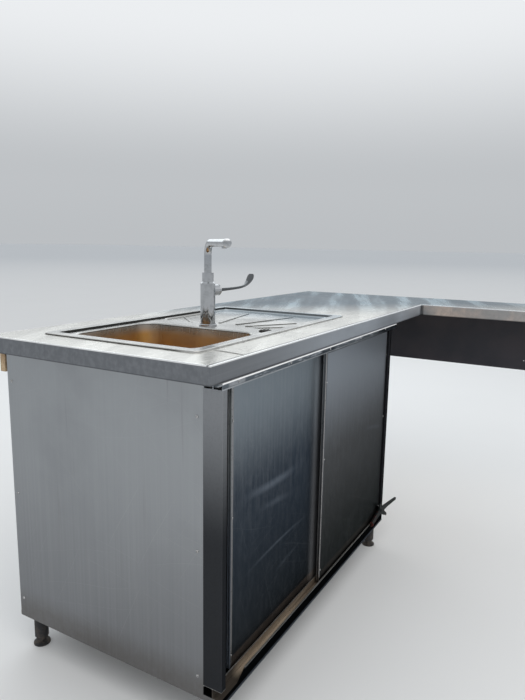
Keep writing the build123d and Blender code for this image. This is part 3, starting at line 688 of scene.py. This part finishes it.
# Painted reflection: the lever is painted much darker than the rest of the chrome.
chrome.paint((on_lever * 0.92).mix(chrome_colour, (0.085, 0.09, 0.095)))
chrome.feed("Roughness", 0.04 + chrome_haze * 0.07 + chrome_specks * 0.3)
chrome.close(chrome_specks * 0.6, 0.00008)

polished = Finish("polished_steel", Metallic=1.0)
polished_haze = polished.place.noise(90.0, 3.0, 0.6).ramp(0.4, 0.7)
polished_lines = scratches(polished.place, (1, 0, 0), (0, 1, 0), 0.02, 400.0, 0.12 * mm)
polished.paint(polished_haze.mix((0.52, 0.52, 0.52), (0.38, 0.38, 0.37)))
polished.feed("Roughness", 0.16 + polished_haze * 0.14 + polished_lines * 0.2)
polished.close(polished_haze * 0.5 - polished_lines * 0.5, 0.0001)

# %% [markdown]
# ## Boards
# Under the sheet is a board of pressed chips, and behind the return hangs a dark coated board. The chips lie
# mostly along the board, so their noise is stretched that way; the coating shows a fine even grit.

# %% Boards
core = Finish("core_board", Roughness=0.75)
core_rings = core.place.stretch((4, 60, 60)).noise(1.0, 5.0, 0.6)
core_flecks = core.place.stretch((60, 300, 300)).noise(1.0, 2.0).ramp(0.55, 0.7)
core_colour = core_rings.ramp(0.3, 0.7).mix((0.42, 0.29, 0.17), (0.58, 0.43, 0.27))
core.paint((core_flecks * 0.6).mix(core_colour, (0.25, 0.16, 0.09)))
core.close(core_rings * 0.6 + core_flecks * 0.4, 0.0006)

dark = Finish("dark_board", Roughness=0.5)
dark_cloud = dark.place.noise(6.0, 4.0, 0.6).ramp(0.35, 0.65)
dark.paint(dark_cloud.mix((0.018, 0.019, 0.027), (0.031, 0.028, 0.036)))
dark.feed("Roughness", 0.46 + dark_cloud * 0.14)
dark.close(dark.place.noise(700.0, 2.0), 0.0003)

# %% [markdown]
# ## Black steel and leg steel
# The latch's black coating is rubbed through to metal in places, and its foot has a touch of red rust. The
# legs are dull dark steel that carries dust near the floor.

# %% Black steel and leg steel
black = Finish("black_steel", tint=0.2, Specular_IOR_Level=0.08)
black_worn = black.place.noise(120.0, 4.0, 0.65).ramp(0.62, 0.70)
black_rust = black.place.noise(70.0, 4.0, 0.7).ramp(0.5, 0.62) * black.x.ramp(0.15, 0.11)
black_colour = black_worn.mix((0.008, 0.010, 0.010), (0.045, 0.047, 0.047))
black.paint((black_rust * 0.8).mix(black_colour, (0.075, 0.014, 0.009)))
black.feed("Metallic", black_worn * 0.5)
black.feed("Roughness", 0.55 + black_worn * 0.1)
black.close(black.place.noise(500.0, 2.0) - black_worn * 0.5, 0.0003)

leg = Finish("leg_steel", tint=0.5, Metallic=0.2, Specular_IOR_Level=0.2)
leg_dust = leg.place.noise(60.0, 4.0, 0.6).ramp(0.4, 0.65) * leg.z.ramp(0.1, 0.0)
leg.paint(leg_dust.mix((0.040, 0.040, 0.042), (0.105, 0.090, 0.078)))
leg.feed("Roughness", 0.5 + leg_dust * 0.3)
leg.close(leg.place.noise(800.0, 2.0), 0.0002)

# %% [markdown]
# ## Plastics and brass
# Each of these small parts gets one honest trait: the trap's white plastic has yellowed in clouds, the
# nylon of the doors' shoes is worn grey in spots, and the brass nut has gone dull and brown.

# %% Plastics and brass
white = Finish("white_plastic", Roughness=0.42)
white_cloud = white.place.noise(20.0, 3.0, 0.6).ramp(0.4, 0.7)
white.paint(white_cloud.mix((0.80, 0.80, 0.78), (0.70, 0.68, 0.62)))
white.close(white.place.noise(300.0, 2.0), 0.0001)

nylon = Finish("black_nylon", Specular_IOR_Level=0.02)
nylon_wear = nylon.place.noise(200.0, 3.0, 0.6).ramp(0.5, 0.7)
nylon.paint(nylon_wear.mix((0.045, 0.044, 0.042), (0.09, 0.088, 0.083)))
nylon.feed("Roughness", 0.6 + nylon_wear * 0.2)
nylon.close(nylon_wear, 0.0001)

brass = Finish("brass_nut", Metallic=1.0)
brass_dull = brass.place.noise(90.0, 4.0, 0.6).ramp(0.4, 0.65)
brass.paint(brass_dull.mix((0.55, 0.38, 0.14), (0.28, 0.19, 0.09)))
brass.feed("Roughness", 0.25 + brass_dull * 0.3)
brass.close(brass_dull, 0.0001)

# %% [markdown]
# ## Sealant and floor paint
# The sealant round the sink is grey along the front and nearly black behind, as painted shade, with spots of
# dirt. The floor is matt paint with faint clouds, a little darker far away so that it meets the sky.

# %% Sealant and floor paint
sealant = Finish("sink_sealant", Roughness=0.65, Specular_IOR_Level=0.05)
sealant_dirt = sealant.place.noise(45.0, 4.0, 0.65).ramp(0.4, 0.65)
# Painted shade: the sealant darkens from front to back.
back_shade = sealant.y.ramp(sink_low[1] + 20 * mm, sink_low[1] + 70 * mm)
sealant_shade_tone = back_shade.mix((0.36, 0.36, 0.35), (0.055, 0.054, 0.05))
sealant.paint((sealant_dirt * 0.5).mix(sealant_shade_tone, (0.10, 0.098, 0.09)))
sealant.close(sealant.place.noise(160.0, 3.0, 0.6), 0.0005)

stage = Finish("floor_paint", Roughness=0.85)
away = stage.place.add("ShaderNodeVectorMath", {"operation": "LENGTH"}, {0: stage.place}, 1)
stage_colour = stage.place.noise(1.2, 3.0).mix((0.79, 0.79, 0.785), (0.82, 0.82, 0.815))
stage.paint(away.ramp(3.0, 45.0).mix(stage_colour, (0.60, 0.62, 0.64)))
stage.close()
floor_mesh.materials.append(finishes["floor_paint"])

# %% [markdown]
# ## Dressing the frame
# Each node of the frame already names the slot of its material, so dressing is one loop: the finish with the
# slot's name goes into the object's slot.

# %% Dressing the frame
slot_of = {part["node"]: part["material_slot"] for part in frame["record"]["subparts"]}
for name, node in nodes.items():
    for holder in node.material_slots:
        holder.link = "OBJECT"
        holder.material = finishes[slot_of[name]]
print("dressed", len(slot_of), "nodes")

# %% [markdown]
# ## Small pieces
# What follows is made as plain meshes in place, so that nothing has to be fitted later. One helper turns a
# mesh into a piece: it gives the finish, ties it to the body it moves with, and keeps hard corners hard
# while round faces are shaded smooth. The others place points, lay a skin over rings of them and turn a
# profile, as a lathe does.


# %% Small pieces
def add_piece(name, shape, body, finish, sharp=32):
    """A piece from an edited mesh. Edges sharper than the angle, in degrees, stay hard."""
    bmesh.ops.recalc_face_normals(shape, faces=shape.faces)
    mesh = bpy.data.meshes.new(name)
    shape.to_mesh(mesh)
    shape.free()
    mesh.shade_smooth()
    mesh.set_sharp_from_angle(angle=math.radians(sharp))
    mesh.materials.append(finishes[finish])
    piece = bpy.data.objects.new(name, mesh)
    scene.collection.objects.link(piece)
    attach(piece, body)
    low = [round(min(c), 3) for c in zip(*(v.co for v in mesh.vertices))]
    print(name, len(mesh.polygons), "faces, lowest corner", low)
    return piece


def facing(place, direction, across=(0, 0, 1)):
    """A matrix that puts a shape's own z along a direction."""
    out = Vector(direction).normalized()
    side = Vector(across).cross(out)
    if side.length < 0.1:
        side = Vector((1, 0, 0)).cross(out)
    side.normalize()
    turned = Matrix((side, out.cross(side), out)).transposed()
    return Matrix.Translation(place) @ turned.to_4x4()


def circle(radius, height, steps, spin=0.0):
    """Points of a level circle, in the unit of its radius."""
    turns = [2 * math.pi * step / steps + spin for step in range(steps)]
    return [Vector((radius * math.cos(t), radius * math.sin(t), height)) for t in turns]


def points(shape, place, spots):
    """New points of a shape, from spots in millimetres."""
    return [shape.verts.new(place @ (spot * mm)) for spot in spots]


def skin(shape, rings):
    """Faces between each ring of points and the next. A ring of one point is a tip."""
    for here, there in zip(rings, rings[1:]):
        for step in range(max(len(here), len(there))):
            corners = [here[step % len(here)], here[(step + 1) % len(here)]]
            corners += [there[(step + 1) % len(there)], there[step % len(there)]]
            shape.faces.new(list(dict.fromkeys(corners)))


def lathe(shape, profile, place, steps=32):
    """A turned form: (radius, height) pairs in millimetres, swung round the place's own z."""
    rings = [circle(radius, height, steps if radius else 1) for radius, height in profile]
    skin(shape, [points(shape, place, ring) for ring in rings])


# %% [markdown]
# ## A screw with a cross recess
# The edge strips and the rails are held by pan-head screws with a cross recess. The recess is what the eye
# looks for, so it is real: the head's top is filled between a circle and a cross, and the cross is sunk. All
# the screws of one body are joined into one piece, since nobody takes them apart here.


# %% A screw with a cross recess
def cross_screw(shape, place, radius=3.6, height=1.9, spin=0.3):
    """A screw head. Radius and height are in millimetres, and spin turns the cross."""
    steps, flat, arm, depth = 20, radius * 0.72, radius * 0.17, height * 0.55
    side = [(radius * 0.98, 0), (radius, height * 0.35), (radius * 0.9, height * 0.8)]
    lathe(shape, side, place, steps)
    place = place @ Matrix.Rotation(spin, 4, "Z")
    rim = points(shape, place, circle(radius * 0.9, height * 0.8, steps, -spin))
    crown = points(shape, place, circle(flat, height, steps, -spin))
    skin(shape, [rim, crown])
    reach = flat * 0.86
    cross = []
    for quarter in range(4):
        turn_by = Matrix.Rotation(quarter * math.pi / 2, 3, "Z")
        cross += [turn_by @ Vector((x, y, 0)) for x, y in ((arm, arm), (reach, arm), (reach, -arm))]
    cross.sort(key=lambda spot: math.atan2(spot.y, spot.x))
    upper = points(shape, place, [spot + Vector((0, 0, height)) for spot in cross])
    lower = points(shape, place, [spot * 0.8 + Vector((0, 0, height - depth)) for spot in cross])
    loops = []
    for ring in (crown, upper):
        pairs = zip(ring, ring[1:] + ring[:1])
        loops += [shape.edges.get(pair) or shape.edges.new(pair) for pair in pairs]
    bmesh.ops.triangle_fill(shape, edges=loops, use_beauty=True)
    skin(shape, [upper, lower])
    shape.faces.new(lower)


def screw_set(name, body, spots, radius):
    """All the screws of a body as one piece. Each spot is a place and the way its screw faces."""
    shape = bmesh.new()
    for number, (spot, direction) in enumerate(spots):
        cross_screw(shape, facing(Vector(spot), direction), radius, spin=0.4 + 1.1 * number)
    bmesh.ops.remove_doubles(shape, verts=shape.verts, dist=0.01 * mm)
    add_piece(name, shape, body, "polished_steel", 28)


# %% [markdown]
# ## Where the screws sit
# A screw that floats or sinks is seen at once, so no place is typed in: each comes from the box of the node
# that the screw holds, with the distance that a fitter keeps from its edges.

# %% Where the screws sit
to_front = (0, -1, 0)
strip_half, first_screw, last_screw = 4.2 * mm, 36 * mm, 86 * mm
for side in ("left", "right"):
    low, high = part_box(f"{side}_door_edge_strips")
    screw_heights = (low[2] + first_screw, low[2] + 0.55 * (high[2] - low[2]), high[2] - last_screw)
    screw_xs = (low[0] + strip_half, high[0] - strip_half)
    door_spots = [((x, low[1], z), to_front) for x in screw_xs for z in screw_heights]
    screw_set(f"{side}_door_screws", f"{side}_door", door_spots, 2.9)

rail_screws, rail_pitch, rail_inset = 5, 245 * mm, 62 * mm
rail_xs = [upper_low[0] + rail_inset + step * rail_pitch for step in range(rail_screws)]
rail_spots = [((x, post_low[1], upper_low[2] + 9 * mm), to_front) for x in rail_xs]
screw_set("rail_screws", "counter", rail_spots, 3.3)

panel_spots = []
panel_inset, back_inset, under_top = 16 * mm, 14 * mm, 40 * mm
for side, way in (("left_side", -1), ("right_side", 1)):
    low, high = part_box(side)
    face_x = low[0] if way < 0 else high[0]
    for y in (low[1] + panel_inset, high[1] - panel_inset):
        for share in (0.06, 0.5, 0.94):
            z = low[2] + share * (high[2] - low[2] - under_top)
            panel_spots.append(((face_x, y, z), (way, 0, 0)))
low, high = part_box("cabinet_back")
for x in (low[0] + back_inset, (low[0] + high[0]) / 2, high[0] - back_inset):
    for z in (low[2] + 30 * mm, high[2] - under_top):
        panel_spots.append(((x, high[1], z), (0, 1, 0)))
screw_set("panel_screws", "counter", panel_spots, 3.9)

# %% [markdown]
# ## Latch bolt and rivet
# The latch is bolted through its foot and riveted at its hub. A bolt's hexagon is a turned form with six
# steps, set on a round washer. The hub's rivet has a domed head.

# %% Latch bolt and rivet
latch_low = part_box("transit_latch")[0]
foot_in, foot_z, hub_in, hub_z = 8 * mm, 132 * mm, 107 * mm, 148 * mm
foot_place = facing(Vector((latch_low[0] + foot_in, latch_low[1], foot_z)), to_front)
hub_place = facing(Vector((latch_low[0] + hub_in, latch_low[1], hub_z)), to_front)
washer = [(0, 0), (6.6, 0), (6.6, 1.1), (6.2, 1.4), (0, 1.4)]
hexagon = [(0, 1.4), (5.0, 1.4), (5.0, 4.2), (4.2, 5.0), (0, 5.0)]
dome = [(5.6 * math.cos(t), 2.6 * math.sin(t)) for t in (0, 0.35, 0.7, 1.05, 1.35)]
shape = bmesh.new()
lathe(shape, washer, foot_place, 28)
lathe(shape, hexagon, foot_place, 6)
lathe(shape, [(0, 0), *dome, (0, 2.6)], hub_place, 24)
add_piece("latch_fixings", shape, "counter", "black_steel", 35)

# %% [markdown]
# ## The strainer
# The waste in the bowl is a pressed cup with a ring of drain holes and a screw in its middle. Its holes are
# made the way a punch would: the plate is a wheel of four-sided cells, each cell is drawn in a little, and
# the inside of it is taken out. The plate then gets its thickness, and the cup is turned round it.

# %% The strainer
low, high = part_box("sink_strainer")
waste_x, waste_y = (low[0] + high[0]) / 2, (low[1] + high[1]) / 2
waste_radius = (high[0] - low[0]) / 2 / mm
waste_depth = (high[2] - low[2]) / mm
plate_depth, plate_thick = 5.0, 0.8
rim_place = Matrix.Translation((waste_x, waste_y, high[2]))
plate_place = Matrix.Translation((waste_x, waste_y, high[2] - plate_depth * mm))

shape = bmesh.new()
spoke_radii, spoke_count = (4.5, 6.5, 10.2, 13.9, 17.6, 19.5), 26
spokes = []
for turn_to in (2 * math.pi * step / spoke_count for step in range(spoke_count)):
    out = Vector((math.cos(turn_to), math.sin(turn_to), 0))
    spokes.append(points(shape, plate_place, [out * radius for radius in spoke_radii]))
holes = []
for step, (here, there) in enumerate(zip(spokes, spokes[1:] + spokes[:1])):
    punched = (1, 3) if step % 2 else (2, 3)
    for row in range(len(spoke_radii) - 1):
        cell = shape.faces.new((here[row], here[row + 1], there[row + 1], there[row]))
        if row in punched:
            holes.append(cell)
bmesh.ops.inset_individual(shape, faces=holes, thickness=0.8 * mm, use_even_offset=True)
bmesh.ops.delete(shape, geom=holes, context="FACES")
bmesh.ops.solidify(shape, geom=shape.faces[:], thickness=-plate_thick * mm)

wall = -plate_depth - plate_thick
cup = [(19.3, wall), (19.3, -2.2), (21.5, -0.4), (24.0, 0), (waste_radius - 2.0, -0.3)]
cup += [(waste_radius, -1.4), (waste_radius, -2.5), (25, -2.5), (25, -waste_depth)]
cup += [(20.5, -waste_depth), (20.5, wall), (19.3, wall)]
lathe(shape, cup, rim_place, 64)
hub = [(0, -plate_thick), (6.0, -plate_thick), (6.0, 0.6), (5.0, 1.0), (0, 1.0)]
lathe(shape, hub, plate_place, 32)
cross_screw(shape, plate_place @ Matrix.Translation((0, 0, 1.0 * mm)), 3.6, 1.6)
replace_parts(add_piece("bowl_strainer", shape, "counter", "polished_steel", 30), "sink_strainer")

# %% [markdown]
# ## The lever
# An elbow lever is cast in one piece, so it has no corners at all: a round bar thins towards a neck and
# swells into a petal that curls up. It could be modelled as a tube and a plate, but the joint would show.
# Here it is one skin over rings that change width and thickness along a curved line, smoothed once more by
# a subdivision.

# %% The lever
low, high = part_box("spout_collar")
tap_x, tap_y = (low[0] + high[0]) / 2, (low[1] + high[1]) / 2
boss_radius, boss_reach = 17, 36
lever_place = Vector((tap_x, tap_y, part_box("tap_lever")[0][2] + boss_radius * mm))
lever_turn = math.radians(-15)
lever_out = Vector((math.cos(lever_turn), math.sin(lever_turn), 0))
lever_side = Vector((-lever_out.y, lever_out.x, 0))
# Reach from the tap, rise, width and thickness in millimetres, and lean in degrees.
lever_rings = (
    (38, 0.0, 13, 13, 0),
    (44, 0.0, 13, 13, 0),
    (52, 0.2, 11.5, 11, 2),
    (76, 0.8, 10.5, 9.6, 2),
    (104, 2.0, 9.6, 8.6, 3),
    (130, 4.0, 10.5, 8.4, 7),
    (147, 7.4, 15.5, 7.6, 22),
    (159, 13.6, 23.0, 6.4, 40),
    (168.5, 22.6, 30.0, 5.6, 55),
    (174.5, 33.0, 33.0, 5.0, 66),
    (177.6, 41.0, 29.0, 4.6, 72),
    (179.0, 45.8, 17.0, 3.2, 74),
)
shape = bmesh.new()
rings = []
for reach, rise, width, thick, lean in lever_rings:
    middle = lever_place + (lever_out * reach + Vector((0, 0, rise))) * mm
    slope = math.radians(lean)
    up = Vector((0, 0, 1)) * math.cos(slope) - lever_out * math.sin(slope)
    half_width, half_thick = lever_side * width / 2 * mm, up * thick / 2 * mm
    rings.append([shape.verts.new(middle + half_width * c.x + half_thick * c.y) for c in circle(1, 0, 16)])
skin(shape, rings)
shape.faces.new(rings[0])
shape.faces.new(rings[-1])
boss = [(0, 0), (boss_radius, 0), (boss_radius, 1.2), (16.2, 1.8), (16.2, 2.6), (boss_radius, 3.2)]
boss += [(boss_radius, 4.6), (15.4, 6), (0, 6.6)]
lathe(shape, boss, facing(lever_place + lever_out * boss_reach * mm, lever_out), 48)
lever = add_piece("elbow_lever", shape, "counter", "tap_chrome", 40)
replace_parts(lever, "tap_lever")
smooth = lever.modifiers.new("round_off", "SUBSURF")
smooth.levels = smooth.render_levels = 1

# %% [markdown]
# ## The spout's end
# The end of the spout is a turned cap with two fine grooves, which show as dark lines, and under it sits the
# aerator. Both are turned forms on the spout's own line, and both move with it.

# %% The spout's end
cap_radius, cap_reach = 12, 200
spout_turn = math.radians(-131)
spout_out = Vector((math.cos(spout_turn), math.sin(spout_turn), 0))
spout_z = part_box("spout_nozzle")[0][2] + cap_radius * mm
spout_end = Vector((tap_x, tap_y, spout_z)) + spout_out * cap_reach * mm
end_cap = [(0, 0), (cap_radius, 0)]
for start in (1.6, 4.6):
    end_cap += [(cap_radius, start), (11.3, start + 0.3), (11.3, start + 1.0), (cap_radius, start + 1.3)]
end_cap += [(cap_radius, 7.6), (11.6, 8.4), (10.6, 8.9), (0, 9)]
shape = bmesh.new()
lathe(shape, end_cap, facing(spout_end, spout_out), 56)
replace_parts(add_piece("spout_end_cap", shape, "spout", "tap_chrome", 30), "spout_nozzle")

# %% [markdown]
# ## The aerator
# The aerator's ring is turned like the cap. Its grid could be a picture on a disc, but the bars are seen
# from below, so they are real: five each way, each as long as the ring is wide there.

# %% The aerator
low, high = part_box("spout_aerator")
mouth = facing(Vector(((low[0] + high[0]) / 2, (low[1] + high[1]) / 2, low[2])), (0, 0, 1))
mouth_radius, bar_gap, bar_wide, bar_high = 5.9, 2.1, 0.45, 0.5
shape = bmesh.new()
mouth_ring = [(mouth_radius, 9.8), (mouth_radius, 0.5), (6.3, 0), (7.0, 0), (7.5, 0.5), (7.5, 10)]
lathe(shape, mouth_ring + mouth_ring[:1], mouth, 40)
for off in (step * bar_gap for step in range(-2, 3)):
    half = math.sqrt((mouth_radius + 0.05) ** 2 - off**2)
    for flip in (0, 1):
        lift = Matrix.Translation((off * mm, 0, (1.6 + 0.5 * flip) * mm))
        size = Matrix.Diagonal((bar_wide * mm, 2 * half * mm, bar_high * mm, 1))
        bar = Matrix.Rotation(flip * math.pi / 2, 4, "Z") @ lift
        bmesh.ops.create_cube(shape, size=1.0, matrix=mouth @ bar @ size)
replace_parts(add_piece("aerator_grid", shape, "spout", "tap_chrome", 30), "spout_aerator")

# %% [markdown]
# ## Sealant round the sink
# A bead of grey sealant fills the corner between the sink's rim and the top. It is a small quarter round
# swept along the sink's outline, a rounded rectangle. It was smoothed with a finger, so its width wanders a
# little. A short straight bead closes the seam in front of the sink, a little aslant.

# %% Sealant round the sink
corner_radius, corner_steps, side_steps = 22 * mm, 8, 24
outline = []
for quarter, (side_x, side_y) in enumerate(((1, 1), (-1, 1), (-1, -1), (1, -1))):
    turn_x = sink_middle[0] + side_x * (sink_half[0] - corner_radius)
    turn_y = sink_middle[1] + side_y * (sink_half[1] - corner_radius)
    for step in range(corner_steps + 1):
        t = math.pi / 2 * (quarter + step / corner_steps)
        outward = Vector((math.cos(t), math.sin(t), 0))
        outline.append((Vector((turn_x, turn_y, top_high[2])) + outward * corner_radius, outward))
    start, outward = outline[-1]
    ahead = Vector((-outward.y, outward.x, 0))
    length = 2 * (sink_half[quarter % 2] - corner_radius)
    outline += [(start + ahead * length * step / side_steps, outward) for step in range(1, side_steps)]

shape = bmesh.new()
tuck, shares = 0.4 * mm, (0, 0.3, 0.65, 1)
rises = [(1.9 * math.cos(share * math.pi / 2) + 0.05) * mm for share in shares]
rings = []
for number, (spot, outward) in enumerate(outline):
    wide = (3.4 + 0.5 * math.sin(number * 0.7) + 0.35 * math.sin(number * 1.9)) * mm
    section = [(wide * share, rise) for share, rise in zip(shares, rises)] + [(wide, 0), (0, 0)]
    rings.append([shape.verts.new(spot + outward * (off - tuck) + Vector((0, 0, z))) for off, z in section])
skin(shape, rings + rings[:1])

seam_from, seam_to, seam_steps = sink_low[1] - 4 * mm, nosing_y + 2 * fold, 9
seam_x, seam_slant = top_low[0] + 147 * mm, 0.147
arc = [math.pi * part / 6 for part in range(7)]
rings = []
for step in range(seam_steps):
    share = step / (seam_steps - 1)
    y = seam_from + (seam_to - seam_from) * share
    half = (2.1 + 0.2 * math.sin(step * 1.7)) * mm
    rise = (1.6 - 0.9 * share**6) * mm
    middle_x = seam_x + seam_slant * y
    spots = [(middle_x - half * math.cos(t), y, top_high[2] + rise * math.sin(t)) for t in arc]
    rings.append([shape.verts.new(spot) for spot in spots])
skin(shape, rings)
shape.faces.new(rings[0])
shape.faces.new(rings[-1])
add_piece("sink_sealant_bead", shape, "counter", "sink_sealant", 60)
